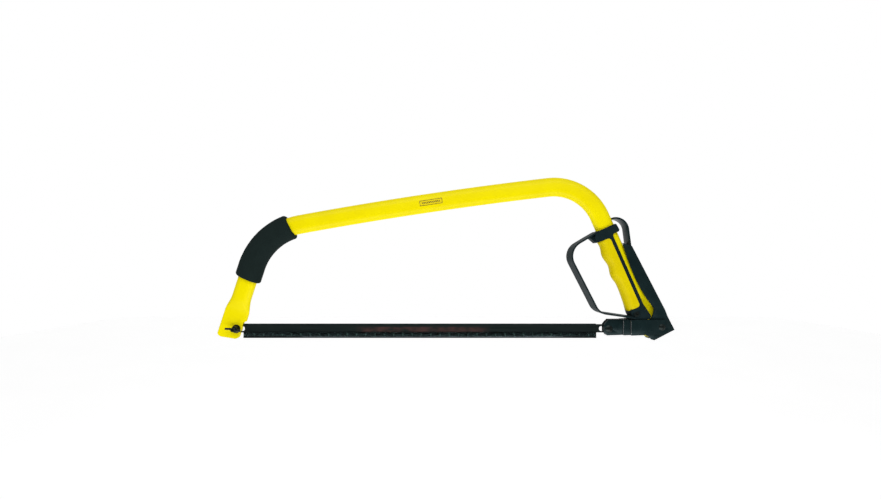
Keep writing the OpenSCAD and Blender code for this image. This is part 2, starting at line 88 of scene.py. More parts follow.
# The blade: its body, the teeth, the tangs and their slots.
BODY_LEN, BODY_SHIFT, BLADE_LEN, BLADE_T = 570, 3.2, 614, 1
BLADE_TOP, TOOTH_TIP, TOOTH_DEPTH, TOOTH_PITCH, TOOTH_FLAT = 8, 13.6, 5.6, 5, 1.4
GULLET, TOOTH_HALF, TOOTH_SET = TOOTH_DEPTH - TOOTH_TIP, (TOOTH_PITCH - TOOTH_FLAT) / 2, 0.22
TANG_LOW, TANG_H, SLOT_L, SLOT_H, SLOT_AT = -6.3, 13.4, 17.5, 8, 295.2
BLADE_MID = PIN[0] / 2 - 1
BODY_MID = BLADE_MID - BODY_SHIFT

# The radii of the tube's holes for the pivot's bush, the front bolt and the guard's screw, and
# how far the cutters for its holes and edges reach to each side.
BUSH_HOLE, BOLT_HOLE, SCREW_HOLE, REACH = 5.5, 3.2, 2.7, 12


# ---------------------------------------------------------------- paths and outlines

def ahead(p, length):
    """A station further along its own heading; a station is (x, z, heading in degrees)."""
    a = radians(p[2])
    return p[0] + length * cos(a), p[1] + length * sin(a), p[2]


def turned(p, radius, angle):
    """The station at the end of a left bend."""
    a, b = radians(p[2]), radians(p[2] + angle)
    x = p[0] - radius * sin(a) + radius * sin(b)
    z = p[1] + radius * cos(a) - radius * cos(b)
    return x, z, p[2] + angle


def across(p, u, v):
    """A point beside a station, u to the right of its heading and v along Y."""
    a = radians(p[2])
    return p[0] + u * sin(a), v, p[1] - u * cos(a)


def run(p, length, count):
    """Stations on a straight, without its first one."""
    return [ahead(p, length * i / count) for i in range(1, count + 1)]


def bend(p, radius, angle, count):
    """Stations round a left bend, without its first one."""
    return [turned(p, radius, angle * i / count) for i in range(1, count + 1)]


# The tube's axis from the lever's pivot at A: the rear bend from B to C, the long top to D, and
# the front bend to E.
TUBE_A = (*PIVOT, 113.8)
TUBE_B = ahead(TUBE_A, REAR_LEG)
TUBE_C = turned(TUBE_B, REAR_R, REAR_TURN)
TUBE_D = turned(TUBE_C, TOP_R, TOP_TURN)
TUBE_E = turned(TUBE_D, FRONT_R, FRONT_TURN)

# The front leg seen from the bolt: its heading, and how far along it and beside it E lies.
LEG_HEADING = TUBE_E[2] - 180
LEG_A = (0, 0, LEG_HEADING)
LEG_S = TUBE_E[0] * cos(radians(LEG_HEADING)) + TUBE_E[1] * sin(radians(LEG_HEADING))
LEG_T = TUBE_E[0] * sin(radians(LEG_HEADING)) - TUBE_E[1] * cos(radians(LEG_HEADING))


def beside(origin, points):
    """Outline points (t, s) beside and along a station, as X and Z."""
    placed = []
    for t, s in points:
        x, _, z = across(ahead(origin, s), t, 0)
        placed.append((x, z))
    return placed


def arc(x, z, radius, start, end, steps):
    """Points on an arc, from one angle to another in degrees."""
    angles = [radians(start + (end - start) * i / steps) for i in range(steps + 1)]
    return [(x + radius * cos(a), z + radius * sin(a)) for a in angles]


def rounded(corners, steps=6):
    """An outline whose corners, given as (x, z, radius), are turned into arcs."""
    out = []
    for i, (x, z, radius) in enumerate(corners):
        here = Vector((x, z))
        back = Vector(corners[i - 1][:2]) - here
        on = Vector(corners[(i + 1) % len(corners)][:2]) - here
        if radius == 0:
            out.append((x, z))
            continue
        half = back.angle(on) / 2
        reach = min(radius / tan(half), back.length * 0.49, on.length * 0.49)
        hub = here + (back.normalized() + on.normalized()).normalized() * reach / cos(half)
        first = here + back.normalized() * reach - hub
        last = here + on.normalized() * reach - hub
        a, b = atan2(first.y, first.x), atan2(last.y, last.x)
        sweep = (b - a + pi) % (2 * pi) - pi
        for k in range(steps + 1):
            angle = a + sweep * k / steps
            out.append((hub.x + first.length * cos(angle), hub.y + first.length * sin(angle)))
    return out


def oval(p, w, t, belly, count=64, lean=0.0):
    """A ring of the tube: belly 0 has flat sides and round edges, belly 1 is an ellipse.

    With a lean, one side of the ring lies further along the path than the other.
    """
    ring = []
    for i in range(count):
        a = 2 * pi * (i + 0.5) / count
        flat = (w - t) / 2 * (1 if cos(a) > 0 else -1) + t / 2 * cos(a)
        u = belly * w / 2 * cos(a) + (1 - belly) * flat
        ring.append(across(ahead(p, lean * u), u, t / 2 * sin(a)))
    return ring


def ease(x):
    """A smooth step from 0 to 1."""
    return x * x * (3 - 2 * x)


# ---------------------------------------------------------------- meshes

def to_frame(points):
    """Points in millimetres from the front bolt as points in the frame's metres."""
    return [(BOLT.x + x * MM, y * MM, BOLT.z + z * MM) for x, y, z in points]


def build(name, points, faces):
    """A mesh object from points and faces, welded and with its faces looking outwards."""
    mesh = bpy.data.meshes.new(name)
    mesh.from_pydata(to_frame(points), [], faces)
    piece = bpy.data.objects.new(name, mesh)
    scene.collection.objects.link(piece)
    bm = bmesh.new()
    bm.from_mesh(mesh)
    bmesh.ops.remove_doubles(bm, verts=bm.verts, dist=1e-6)
    bmesh.ops.recalc_face_normals(bm, faces=bm.faces)
    bm.to_mesh(mesh)
    bm.free()
    return piece


def loft(name, rings, ends=True):
    """A skin through rings of the same count, capped, or joined end to end as a torus."""
    n = len(rings[0])
    points = [p for ring in rings for p in ring]
    spans = len(rings) - 1 if ends else len(rings)
    faces = []
    for k in range(spans):
        m = (k + 1) % len(rings)
        for i in range(n):
            j = (i + 1) % n
            faces.append((k * n + i, m * n + i, m * n + j, k * n + j))
    if ends:
        faces.append(tuple(range(n)))
        faces.append(tuple(range(len(points) - n, len(points))))
    return build(name, points, faces)


def prism(name, outline, y0, y1):
    """A flat plate from an outline in X and Z."""
    return loft(name, [[(x, y, z) for x, z in outline] for y in (y0, y1)])


def lathe(name, profile, centre, segments=64):
    """A turned piece about an axis along Y. The profile is (radius, y) from end to end."""
    spin = [2 * pi * i / segments for i in range(segments)]
    rings = []
    for r, y in profile:
        r = max(r, 1e-4)
        rings.append([(centre[0] + r * cos(a), y, centre[1] + r * sin(a)) for a in spin])
    return loft(name, rings)


def rod(radius, centre, y0, y1):
    """A plain round bar along Y, mostly to cut a hole with."""
    return lathe("rod", [(0, y0), (radius, y0), (radius, y1), (0, y1)], centre, 48)


def settle(piece):
    """Applies the piece's modifiers to its mesh."""
    graph = bpy.context.evaluated_depsgraph_get()
    mesh = bpy.data.meshes.new_from_object(piece.evaluated_get(graph))
    piece.modifiers.clear()
    piece.data = mesh
    return piece


def cut(piece, *cutters):
    """Takes the cutters' volume out of the piece, and removes them."""
    for cutter in cutters:
        tool = piece.modifiers.new("cut", "BOOLEAN")
        tool.operation = "DIFFERENCE"
        tool.solver = "EXACT"
        tool.object = cutter
        settle(piece)
        bpy.data.objects.remove(cutter)
    return piece


def join(name, *pieces):
    """Several meshes as one object."""
    bm = bmesh.new()
    for piece in pieces:
        bm.from_mesh(piece.data)
        bpy.data.objects.remove(piece)
    mesh = bpy.data.meshes.new(name)
    bm.to_mesh(mesh)
    bm.free()
    piece = bpy.data.objects.new(name, mesh)
    scene.collection.objects.link(piece)
    return piece


def fuse(piece, voxel, passes):
    """Moulds overlapping solids into one skin, with small fillets where they meet."""
    remesh = piece.modifiers.new("fuse", "REMESH")
    remesh.mode = "VOXEL"
    remesh.voxel_size = voxel * MM
    smooth = piece.modifiers.new("smooth", "SMOOTH")
    smooth.factor = 0.5
    smooth.iterations = passes
    return settle(piece)


def soften(piece, width):
    """Rounds the edges sharper than 35 degrees by a width in millimetres."""
    bevel = piece.modifiers.new("edges", "BEVEL")
    bevel.width = width * MM
    bevel.segments = 2
    bevel.limit_method = "ANGLE"
    bevel.angle_limit = radians(35)
    bevel.miter_outer = "MITER_ARC"
    return settle(piece)


def shade(piece, angle=30):
    """Smooth shading, but for edges sharper than the angle."""
    mesh = piece.data
    mesh.shade_smooth()
    mesh.set_sharp_from_angle(angle=radians(angle))
    return piece


def like_cad(name, node, width):
    """A copy of a CAD node's shape, with its flat faces made whole and its edges rounded."""
    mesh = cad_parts[node].data.copy()
    mesh.materials.clear()
    piece = bpy.data.objects.new(name, mesh)
    scene.collection.objects.link(piece)
    bm = bmesh.new()
    bm.from_mesh(mesh)
    bmesh.ops.remove_doubles(bm, verts=bm.verts, dist=2e-6)
    bmesh.ops.dissolve_limit(bm, angle_limit=radians(1), verts=bm.verts, edges=bm.edges)
    bmesh.ops.recalc_face_normals(bm, faces=bm.faces)
    bm.to_mesh(mesh)
    bm.free()
    return soften(piece, width)


def dress(piece, body, material, nodes=()):
    """Gives a finished piece its body, its material and the nodes it replaces."""
    piece.data.materials.clear()
    piece.data.materials.append(material)
    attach(piece, body)
    if nodes:
        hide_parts(*nodes)
    return piece


# ---------------------------------------------------------------- materials

class Nodes:
    """A short way to write a node material."""

    def __init__(self, name):
        self.material = bpy.data.materials.new(name)
        self.material.use_nodes = True
        self.tree = self.material.node_tree
        self.shader = self.tree.nodes["Principled BSDF"]
        self.place = self.add("ShaderNodeTexCoord").outputs["Object"]

    def add(self, kind, **inputs):
        """A new node, with its inputs set by name."""
        node = self.tree.nodes.new(kind)
        for key, value in inputs.items():
            self.feed(node.inputs[key.replace("_", " ")], value)
        return node

    def feed(self, socket, value):
        """Links a node's output to the socket, or sets a plain value there."""
        if isinstance(value, bpy.types.NodeSocket):
            self.tree.links.new(value, socket)
        else:
            socket.default_value = value

    def set(self, **inputs):
        """Sets inputs of the material's shader by name."""
        for key, value in inputs.items():
            self.feed(self.shader.inputs[key.replace("_", " ")], value)

    def noise(self, scale, detail, roughness=0.5, stretch=None):
        """Noise in the object's own space: scale is in features a metre."""
        place = self.place
        if stretch:
            mapping = self.add("ShaderNodeMapping", Vector=place)
            mapping.inputs["Scale"].default_value = stretch
            place = mapping.outputs["Vector"]
        node = self.add("ShaderNodeTexNoise", Vector=place, Scale=scale, Detail=detail)
        node.inputs["Roughness"].default_value = roughness
        return node.outputs["Fac"]

    def cells(self, scale):
        """The distance to the nearest cell's middle, for pores."""
        node = self.add("ShaderNodeTexVoronoi", Vector=self.place, Scale=scale)
        return node.outputs["Distance"]

    def ramp(self, value, low, high, start=0.0, end=1.0):
        """Maps low..high to start..end, clamped."""
        node = self.add("ShaderNodeMapRange", Value=value)
        node.inputs["From Min"].default_value = low
        node.inputs["From Max"].default_value = high
        node.inputs["To Min"].default_value = start
        node.inputs["To Max"].default_value = end
        return node.outputs["Result"]

    def blend(self, share, a, b):
        """A colour between a and b."""
        node = self.add("ShaderNodeMix")
        node.data_type = "RGBA"
        self.feed(node.inputs["Factor"], share)
        colours = [s for s in node.inputs if s.type == "RGBA"]
        for socket, value in zip(colours, (a, b)):
            self.feed(socket, value if isinstance(value, bpy.types.NodeSocket) else (*value, 1))
        return [s for s in node.outputs if s.type == "RGBA"][0]

    def math(self, operation, a, b):
        """The result of a sum with two values."""
        node = self.add("ShaderNodeMath")
        node.operation = operation
        self.feed(node.inputs[0], a)
        self.feed(node.inputs[1], b)
        return node.outputs[0]

    def bump(self, height, depth, strength, normal=None):
        """A bump of the given depth in millimetres, on top of another where one is given."""
        node = self.add("ShaderNodeBump", Height=height, Strength=strength)
        node.inputs["Distance"].default_value = depth * MM
        if normal:
            self.feed(node.inputs["Normal"], normal)
        return node.outputs["Normal"]


def yellow_coat():
    """Powder coat: orange peel, faint clouding and a soft gloss."""
    m = Nodes("yellow_powder_coat")
    cloud = m.ramp(m.noise(28, 4), 0.3, 0.7)
    m.set(Base_Color=m.blend(cloud, (0.88, 0.74, 0.0), (0.93, 0.8, 0.0)))
    m.set(Roughness=m.ramp(m.noise(140, 3), 0.3, 0.7, 0.3, 0.4), Specular_IOR_Level=0.1)
    m.set(Normal=m.bump(m.noise(700, 2), 0.05, 0.5))
    return m.material


def yellow_plastic():
    """Moulded grip: a satin skin with a fine spark-eroded grain."""
    m = Nodes("yellow_grip_plastic")
    cloud = m.ramp(m.noise(45, 4), 0.3, 0.7)
    m.set(Base_Color=m.blend(cloud, (0.7, 0.56, 0.0), (0.75, 0.61, 0.0)))
    m.set(Roughness=m.ramp(m.noise(200, 3), 0.3, 0.7, 0.38, 0.48), Specular_IOR_Level=0.08)
    m.set(Normal=m.bump(m.noise(2600, 2), 0.03, 0.5))
    return m.material


# Dark surfaces reflect the studio with a faint green-blue cast.
COOL = (0.72, 0.94, 1.0, 1)


def black_enamel():
    """Stoved enamel on pressed steel: near black, slightly green, with a soft gloss."""
    m = Nodes("black_satin_enamel")
    cloud = m.ramp(m.noise(60, 5, 0.6), 0.35, 0.7)
    m.set(Base_Color=m.blend(cloud, (0.0065, 0.0145, 0.0155), (0.0095, 0.0205, 0.022)))
    scuffs = m.ramp(m.noise(260, 6, 0.7), 0.55, 0.75, 0.0, 0.12)
    m.set(Roughness=m.math("ADD", m.ramp(m.noise(90, 3), 0.3, 0.7, 0.2, 0.3), scuffs))
    m.set(Specular_IOR_Level=0.15, Specular_Tint=COOL)
    m.set(Normal=m.bump(m.noise(900, 3), 0.04, 0.5))
    return m.material


def black_plastic():
    """Glass-filled nylon: a fine grain and a satin sheen."""
    m = Nodes("black_guard_nylon")
    cloud = m.ramp(m.noise(70, 5, 0.6), 0.35, 0.7)
    m.set(Base_Color=m.blend(cloud, (0.007, 0.0145, 0.0165), (0.0105, 0.021, 0.024)))
    m.set(Roughness=m.ramp(m.noise(160, 4), 0.3, 0.7, 0.4, 0.5))
    m.set(Specular_IOR_Level=0.05, Specular_Tint=COOL)
    grain = m.bump(m.noise(2400, 2), 0.03, 0.6)
    m.set(Normal=m.bump(m.noise(320, 3), 0.05, 0.4, grain))
    return m.material


def foam():
    """Closed-cell foam: fine cells with painted shade in their hollows, faint pressed dents and no
    gloss.
    """
    m = Nodes("grey_closed_cell_foam")
    cloud = m.ramp(m.noise(50, 5, 0.6), 0.3, 0.7)
    # Painted shade: the colour is darkest at each cell's middle, where the cell bump dips.
    pore_shade = m.ramp(m.cells(1500), 0.1, 0.5)
    base = m.blend(cloud, (0.0075, 0.0145, 0.013), (0.0115, 0.0215, 0.019))
    m.set(Base_Color=m.blend(m.math("MULTIPLY", pore_shade, 0.5), (0.006, 0.011, 0.01), base))
    m.set(Roughness=0.85, Specular_IOR_Level=0.15, Specular_Tint=COOL)
    cells = m.bump(m.cells(1500), 0.12, 0.7)
    m.set(Normal=m.bump(m.noise(350, 4), 0.12, 0.5, cells))
    return m.material


def zinc():
    """Dull zinc plate with a patchy passivated finish."""
    m = Nodes("dull_zinc_plate")
    cloud = m.ramp(m.noise(180, 5, 0.6), 0.3, 0.7)
    m.set(Base_Color=m.blend(cloud, (0.42, 0.43, 0.44), (0.58, 0.585, 0.57)), Metallic=1.0)
    m.set(Roughness=m.ramp(m.noise(420, 4), 0.3, 0.7, 0.28, 0.46))
    m.set(Normal=m.bump(m.noise(1500, 3), 0.02, 0.4))
    return m.material


def black_steel():
    """Blackened steel: dark, metallic, and polished a little where hands rub it."""
    m = Nodes("blackened_steel")
    cloud = m.ramp(m.noise(160, 5, 0.6), 0.35, 0.7)
    m.set(Base_Color=m.blend(cloud, (0.009, 0.014, 0.0135), (0.022, 0.03, 0.028)), Metallic=0.7)
    m.set(Roughness=m.ramp(m.noise(400, 4), 0.3, 0.7, 0.28, 0.44), Specular_IOR_Level=0.35)
    m.set(Normal=m.bump(m.noise(1300, 3), 0.03, 0.5))
    return m.material


# The faded print on the blade runs between these places along it, and above the teeth.
PRINT_X, PRINT_Z = (190, 412), (-7.6, 3.4)


def blade_steel():
    """Dark blued strip steel with rolling marks and a faded print."""
    m = Nodes("blued_blade_steel")
    split = m.add("ShaderNodeSeparateXYZ", Vector=m.place)
    x, z = split.outputs["X"], split.outputs["Z"]
    rolled = m.ramp(m.noise(260, 5, 0.6, stretch=(0.08, 1, 1)), 0.3, 0.7)
    base = m.blend(rolled, (0.0055, 0.009, 0.0085), (0.011, 0.016, 0.015))

    def band(value, low, high, soft):
        """1 between two heights, with soft ends."""
        low, high, soft = low * MM, high * MM, soft * MM
        rise = m.ramp(value, low, low + soft)
        fall = m.ramp(value, high - soft, high, 1.0, 0.0)
        return m.math("MULTIPLY", rise, fall)

    print_area = m.math(
        "MULTIPLY",
        band(x, BOLT.x / MM + PRINT_X[0], BOLT.x / MM + PRINT_X[1], 22),
        band(z, BOLT.z / MM + PRINT_Z[0], BOLT.z / MM + PRINT_Z[1], 1.2),
    )
    rubbed = m.ramp(m.noise(120, 6, 0.7, stretch=(0.5, 1, 1)), 0.36, 0.62)
    ink = m.math("MULTIPLY", print_area, m.math("MULTIPLY", rubbed, 0.85))
    base = m.blend(ink, base, (0.07, 0.033, 0.029))

    m.set(Base_Color=base)
    m.set(Roughness=m.ramp(m.noise(300, 4, stretch=(0.06, 1, 1)), 0.3, 0.7, 0.26, 0.36))
    m.set(Specular_IOR_Level=0.13, Specular_Tint=COOL)
    m.set(Normal=m.bump(m.noise(500, 3, stretch=(0.05, 1, 1)), 0.02, 0.5))
    return m.material


def ground_steel_painted_glint():
    """Freshly ground steel, with fine grinding lines across each bevel; its bright, mostly diffuse
    base paints a glint.
    """
    m = Nodes("ground_steel_painted_glint")
    lines = m.ramp(m.noise(3000, 3, 0.6, stretch=(1, 1, 0.1)), 0.3, 0.7)
    # The base is bright and only partly metallic, so each bevel glows evenly as a painted glint.
    m.set(Base_Color=m.blend(lines, (0.5, 0.56, 0.54), (0.68, 0.74, 0.72)), Metallic=0.35)
    m.set(Roughness=m.ramp(m.noise(900, 3), 0.3, 0.7, 0.35, 0.5))
    return m.material


def smoky_plastic():
    """A dark strip: its near wall shows the teeth through it, and the far wall and the foot are
    opaque."""
    m = Nodes("smoky_cover_plastic")
    split = m.add("ShaderNodeSeparateXYZ", Vector=m.place)
    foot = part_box("blade_cover")[0].z
    near = m.ramp(split.outputs["Y"], -BLADE_T / 2 * MM, BLADE_T / 2 * MM, 1.0, 0.0)
    above = m.ramp(split.outputs["Z"], foot + 1.2 * MM, foot + 2.4 * MM)
    clear = m.math("MULTIPLY", near, above)
    tint = m.blend(m.ramp(clear, 0.8, 1.0), (0.005, 0.0095, 0.009), (0.15, 0.21, 0.195))
    m.set(Base_Color=tint, Transmission_Weight=clear, IOR=1.46)
    m.set(Specular_IOR_Level=0.1, Specular_Tint=COOL)
    m.set(Roughness=m.ramp(m.noise(120, 3, stretch=(0.2, 1, 1)), 0.3, 0.7, 0.12, 0.2))
    m.set(Normal=m.bump(m.noise(240, 2, stretch=(0.2, 1, 1)), 0.02, 0.4))
    return m.material


def film(name, a, b, rough):
    """Printed film or ink: an even colour, faintly worn."""
    m = Nodes(name)
    m.set(Base_Color=m.blend(m.ramp(m.noise(500, 5, 0.7), 0.3, 0.7), a, b))
    m.set(Roughness=m.ramp(m.noise(300, 3), 0.3, 0.7, rough, rough + 0.12))
    return m.material


YELLOW = yellow_coat()
GRIP = yellow_plastic()
ENAMEL = black_enamel()
NYLON = black_plastic()
FOAM = foam()
ZINC = zinc()
BLACK_STEEL = black_steel()
BLUED = blade_steel()
GROUND_STEEL_GLINT = ground_steel_painted_glint()
SMOKE = smoky_plastic()
LABEL_FILM = film("label_film", (0.84, 0.66, 0.002), (0.88, 0.7, 0.003), 0.2)
LABEL_INK = film("label_ink", (0.03, 0.027, 0.008), (0.05, 0.043, 0.01), 0.4)


# ---------------------------------------------------------------- the tube

def tube_rings(inset):
    """Rings from the tongue at the lever pivot to the pressed end at the front bolt.

    The rings of an inset skin start and end a little further out than those of the outer skin,
    so that one can be cut cleanly from the other.
    """
    def ring(p, share):
        w = FLAT_W + (TUBE_W - FLAT_W) * share - 2 * inset
        t = FLAT_T + (TUBE_T - FLAT_T) * share - 2 * inset
        return oval(p, w, t, BELLY * share)

    steps = 12
    spare = 3 if inset > 0 else 2
    rings = [ring(ahead(TUBE_A, s), 0) for s in (-TONGUE_R - spare, -5, 19, REAR_FLAT)]
    for i in range(1, steps + 1):
        s = REAR_FLAT + (REAR_OVAL - REAR_FLAT) * i / steps
        rings.append(ring(ahead(TUBE_A, s), ease(i / steps)))
    path = run(ahead(TUBE_A, REAR_OVAL), REAR_LEG - REAR_OVAL, 14)
    path += bend(TUBE_B, REAR_R, REAR_TURN, 30) + bend(TUBE_C, TOP_R, TOP_TURN, 44)
    path += bend(TUBE_D, FRONT_R, FRONT_TURN, 26) + run(TUBE_E, LEG_S - FRONT_OVAL, 5)
    rings += [ring(p, 1) for p in path]
    for i in range(1, steps + 1):
        s = FRONT_OVAL + (FRONT_FLAT - FRONT_OVAL) * i / steps
        rings.append(ring(ahead(TUBE_E, LEG_S - s), 1 - ease(i / steps)))
    rings += [ring(ahead(TUBE_E, LEG_S - s), 0) for s in (10, -5, LEG_END - spare)]
    return rings


def tongue_waste():
    """What the press cuts away round the tongue at the lever pivot."""
    side = FLAT_W / 2 + 1
    edge = arc(0, 0, TONGUE_R, 0, -180, 28)
    outline = [(60, TONGUE_TOP), (side, TONGUE_TOP), *edge, (-side, TONGUE_TOP)]
    outline += [(-60, TONGUE_TOP), (-60, -60), (60, -60)]
    return prism("waste", beside(TUBE_A, outline), -REACH, REACH)


def front_waste():
    """What the press cuts away round the front end, with the notch for the blade's tang."""
    left, right = LEG_T - FLAT_W / 2 - 1, LEG_T + FLAT_W / 2 + 1
    seat, seat_top, seat_r, notch = 7.2, 11.5, 1.2, 17
    tilt, near_r, far_r = 8.8, 6.5, 9
    outline = [(left - 30, 0), (left - 30, -60), (right + 30, -60), (right + 30, notch + 1)]
    outline += [(right, notch), *arc(seat + seat_r, seat_top + seat_r, seat_r, 100, 180, 4)]
    for t, radius, start, end in ((seat - near_r, near_r, 0, tilt - 90),
                                  (left + far_r, far_r, tilt - 90, -180)):
        s = LEG_END + (t - left) * tan(radians(tilt)) + radius / cos(radians(tilt))
        outline += arc(t, s, radius, start, end, 10)
    outline += [(left, 0)]
    return prism("waste", beside(LEG_A, outline), -REACH, REACH)


def spacer_path():
    """Room on the tongue for the spacer that swings round the pivot with the lever."""
    spacer_r, first, last = 5.4, -88, 38
    inner = sqrt((LINK[0] - PIVOT[0]) ** 2 + (LINK[1] - PIVOT[1]) ** 2) - spacer_r
    outline = arc(*PIVOT, inner, first, last, 24)
    for a, far in ((last, 40), (-25, 40), (first, 3 * inner)):
        outline.append((PIVOT[0] + far * cos(radians(a)), PIVOT[1] + far * sin(radians(a))))
    return prism("path", outline, -REACH, REACH)


def tube():
    """The bent tube, hollow right through its pressed ends, with its holes."""
    piece = loft("oval_frame_tube", tube_rings(0))
    hollow = loft("hollow", tube_rings(WALL))
    screw = beside(TUBE_A, [SCREW_AT])[0]
    holes = [rod(radius, centre, -REACH, REACH)
             for radius, centre in ((BUSH_HOLE, PIVOT), (BOLT_HOLE, (0, 0)), (SCREW_HOLE, screw))]
    cut(piece, hollow, tongue_waste(), front_waste(), spacer_path(), *holes)
    return dress(shade(piece, 32), "frame", YELLOW, ["frame_tube"])


# ---------------------------------------------------------------- foam sleeve and label

# The sleeve's wall, where it starts round the bend in degrees, how far it runs on after the
# bend, the round of its ends and how much they lean.
FOAM_WALL, FOAM_LEAD, FOAM_TAIL, FOAM_ROUND, FOAM_LEAN = 5.4, 10.4, 17, 4, 0.115


def foam_sleeve():
    """The sleeve on the front bend. It was straight before it was pulled on, so its ends lean."""
    start, steps = turned(TUBE_D, FRONT_R, FOAM_LEAD), 60
    body = [start, *bend(start, FRONT_R, FRONT_TURN - FOAM_LEAD, steps)]
    body += run(TUBE_E, FOAM_TAIL, 12)
    leans = [FOAM_LEAN * (1 - 2 * min(1, i / steps)) for i in range(len(body))]
    w, t = TUBE_W + 2 * FOAM_WALL, TUBE_T + 2 * FOAM_WALL

    def ring(p, less, lean):
        return oval(p, w - 2 * less, t - 2 * less, BELLY, 96, lean)

    def lip(p, way, angles):
        """The rounded edge at one end: way is -1 at the first end and 1 at the last."""
        return [ring(ahead(p, way * FOAM_ROUND * cos(a)), FOAM_ROUND * (1 - sin(a)),
                     -way * FOAM_LEAN) for a in angles]

    angles = [radians(a) for a in range(0, 90, 12)]
    outer = lip(body[0], -1, angles)
    outer += [ring(p, 0, lean) for p, lean in zip(body, leans)]
    outer += lip(body[-1], 1, reversed(angles))
    core = [(ahead(body[0], -FOAM_ROUND), FOAM_LEAN), *zip(body, leans),
            (ahead(body[-1], FOAM_ROUND), -FOAM_LEAN)]
    inner = [ring(p, FOAM_WALL - 0.15, lean) for p, lean in reversed(core)]
    piece = loft("foam_front_grip", outer + inner, ends=False)
    for v in piece.data.vertices:
        dent = noise.noise(v.co * 60) * 0.12 + noise.noise(v.co * 260) * 0.05
        v.co += v.normal * dent * MM
    return dress(shade(piece, 60), "frame", FOAM, ["foam_grip"])


# The label: its place as a share of the top tube, its length and its width.
LABEL_AT, LABEL_L, LABEL_W = 0.47, 37, 9


def on_tube(d, u, lift):
    """A point on the near side of the top tube, d along it from the label's middle."""
    p = ahead(turned(TUBE_C, TOP_R, TOP_TURN * LABEL_AT), d)
    w, t = TUBE_W / 2, TUBE_T / 2
    a = 0.5 * pi
    for _ in range(24):  # walks round the section until it is as far across as u
        flat = (w - t) * (1 if cos(a) > 0 else -1) + t * cos(a)
        now = BELLY * w * cos(a) + (1 - BELLY) * flat
        a += (now - u) * 0.05
    if abs(u) <= (1 - BELLY) * (w - t):
        a = 0.5 * pi
    return across(p, u, -(t * sin(a) + lift))


def patch(name, d, u, low, high, slant=0.0):
    """A thin film on the tube between two distances along it and two across it."""
    cell_d, cell_u = 2, 0.7
    nd, nu = max(2, int((d[1] - d[0]) / cell_d)), max(2, int((u[1] - u[0]) / cell_u))
    points, faces = [], []
    for lift in (low, high):
        for i in range(nd + 1):
            for j in range(nu + 1):
                side = u[0] + (u[1] - u[0]) * j / nu
                points.append(on_tube(d[0] + (d[1] - d[0]) * i / nd + slant * side, side, lift))
    size, row = (nd + 1) * (nu + 1), nu + 1
    for i in range(nd):
        for j in range(nu):
            a = i * row + j
            faces.append((a, a + 1, a + row + 1, a + row))
            faces.append((size + a, size + a + row, size + a + row + 1, size + a + 1))
    rim = [i * row for i in range(nd)] + [nd * row + j for j in range(nu)]
    rim += [i * row + nu for i in range(nd, 0, -1)] + list(range(nu, 0, -1))
    for a, b in zip(rim, rim[1:] + rim[:1]):
        faces.append((a, b, size + b, size + a))
    return build(name, points, faces)


def label():
    """A plain film with a thin printed frame round a row of slanted bars."""
    half_l, half_w = LABEL_L / 2, LABEL_W / 2
    film_lift, ink_lift = (0.02, 0.16), (0.14, 0.2)
    base = patch("tube_label_film", (-half_l, half_l), (-half_w, half_w), *film_lift)
    dress(shade(base), "frame", LABEL_FILM, ["frame_label"])
    line, inset = 0.7, 0.3
    inks = []
    for sign in (-1, 1):
        rows = sorted((sign * (half_w - inset), sign * (half_w - inset - line)))
        ends = sorted((sign * (half_l - inset), sign * (half_l - inset - line)))
        inks.append(patch("ink", (inset - half_l, half_l - inset), rows, *ink_lift))
        inks.append(patch("ink", ends, (inset - half_w, half_w - inset), *ink_lift))
    bars, step, thick, tall, slant = 11, 2.7, 0.7, 1.5, 0.6
    for i in range(bars):
        d = (i - (bars - 1) / 2) * step
        inks.append(patch("ink", (d - thick, d + thick), (-tall, tall), *ink_lift, slant))
    ink = join("tube_label_bars", *inks)
    return dress(shade(ink), "frame", LABEL_INK)


# ---------------------------------------------------------------- handle

def grip_edge(s):
    """The grip's front: two finger waves, then a hollow that flares at the bottom."""
    low = WAVE_TOP - WAVE_STEP / 2
    if s > low:
        return -GRIP_FRONT - WAVE * cos(2 * pi * (s - WAVE_TOP) / WAVE_STEP)
    return -GRIP_FRONT + WAVE - FLARE * ((low - s) / (low - GRIP_LOW)) ** 2


def grip_ring(s, side, shrink):
    """One half of a ring of the grip, from the parting line round to the rail, and back inside."""
    p, hub = ahead(TUBE_A, s), grip_edge(s) + GRIP_HALF
    half, wall, steps = GRIP_HALF - 0.15 - shrink, 2.4, 20
    angles = [pi - (pi / 2 - 0.02) * i / steps - 0.012 for i in range(steps + 1)]
    flat = [hub + (-RAIL_HALF - 0.1 - hub) * k / 4 for k in range(1, 5)]

    def skin(reach):
        """The curve round the front and the flat behind it, this far from the mid plane."""
        points = [across(p, hub + reach * cos(a), side * reach * sin(a)) for a in angles]
        return points + [across(p, u, side * reach) for u in flat]

    return skin(half) + skin(half - wall)[::-1]


def grip_cover(side, name, node):
    """Half of the moulded grip, with its finger waves and rounded ends."""
    over, lip, count = 1, 1.2, 60
    length = GRIP_HIGH - GRIP_LOW + 2 * over
    rings = []
    for i in range(count + 1):
        s = GRIP_LOW - over + length * i / count
        from_end = min(s - GRIP_LOW + over, GRIP_HIGH + over - s)
        shrink = lip * (1 - sqrt(max(0, 1 - (1 - min(1, from_end / lip)) ** 2)))
        rings.append(grip_ring(s, side, shrink))
    piece = loft(name, rings)
    return dress(shade(piece, 40), "frame", GRIP, [node])


def strap_path():
    """The knuckle guard's strap, from the upper collar down and back to the lower one."""
    out, down, back = 34.6, 77.7, 47.3
    knee, knee_turn, heel, heel_turn = 26, 86.1, 22, 54.6
    a = (PIVOT[0] - 87.2, PIVOT[1] + 156.5, 211)
    b = ahead(a, out)
    c = turned(b, knee, knee_turn)
    d = ahead(c, down)
    e = turned(d, heel, heel_turn)
    path = [a, *run(a, out, 8), *bend(b, knee, knee_turn, 26), *run(c, down, 16)]
    return path + [*bend(d, heel, heel_turn, 18), *run(e, back, 8)]


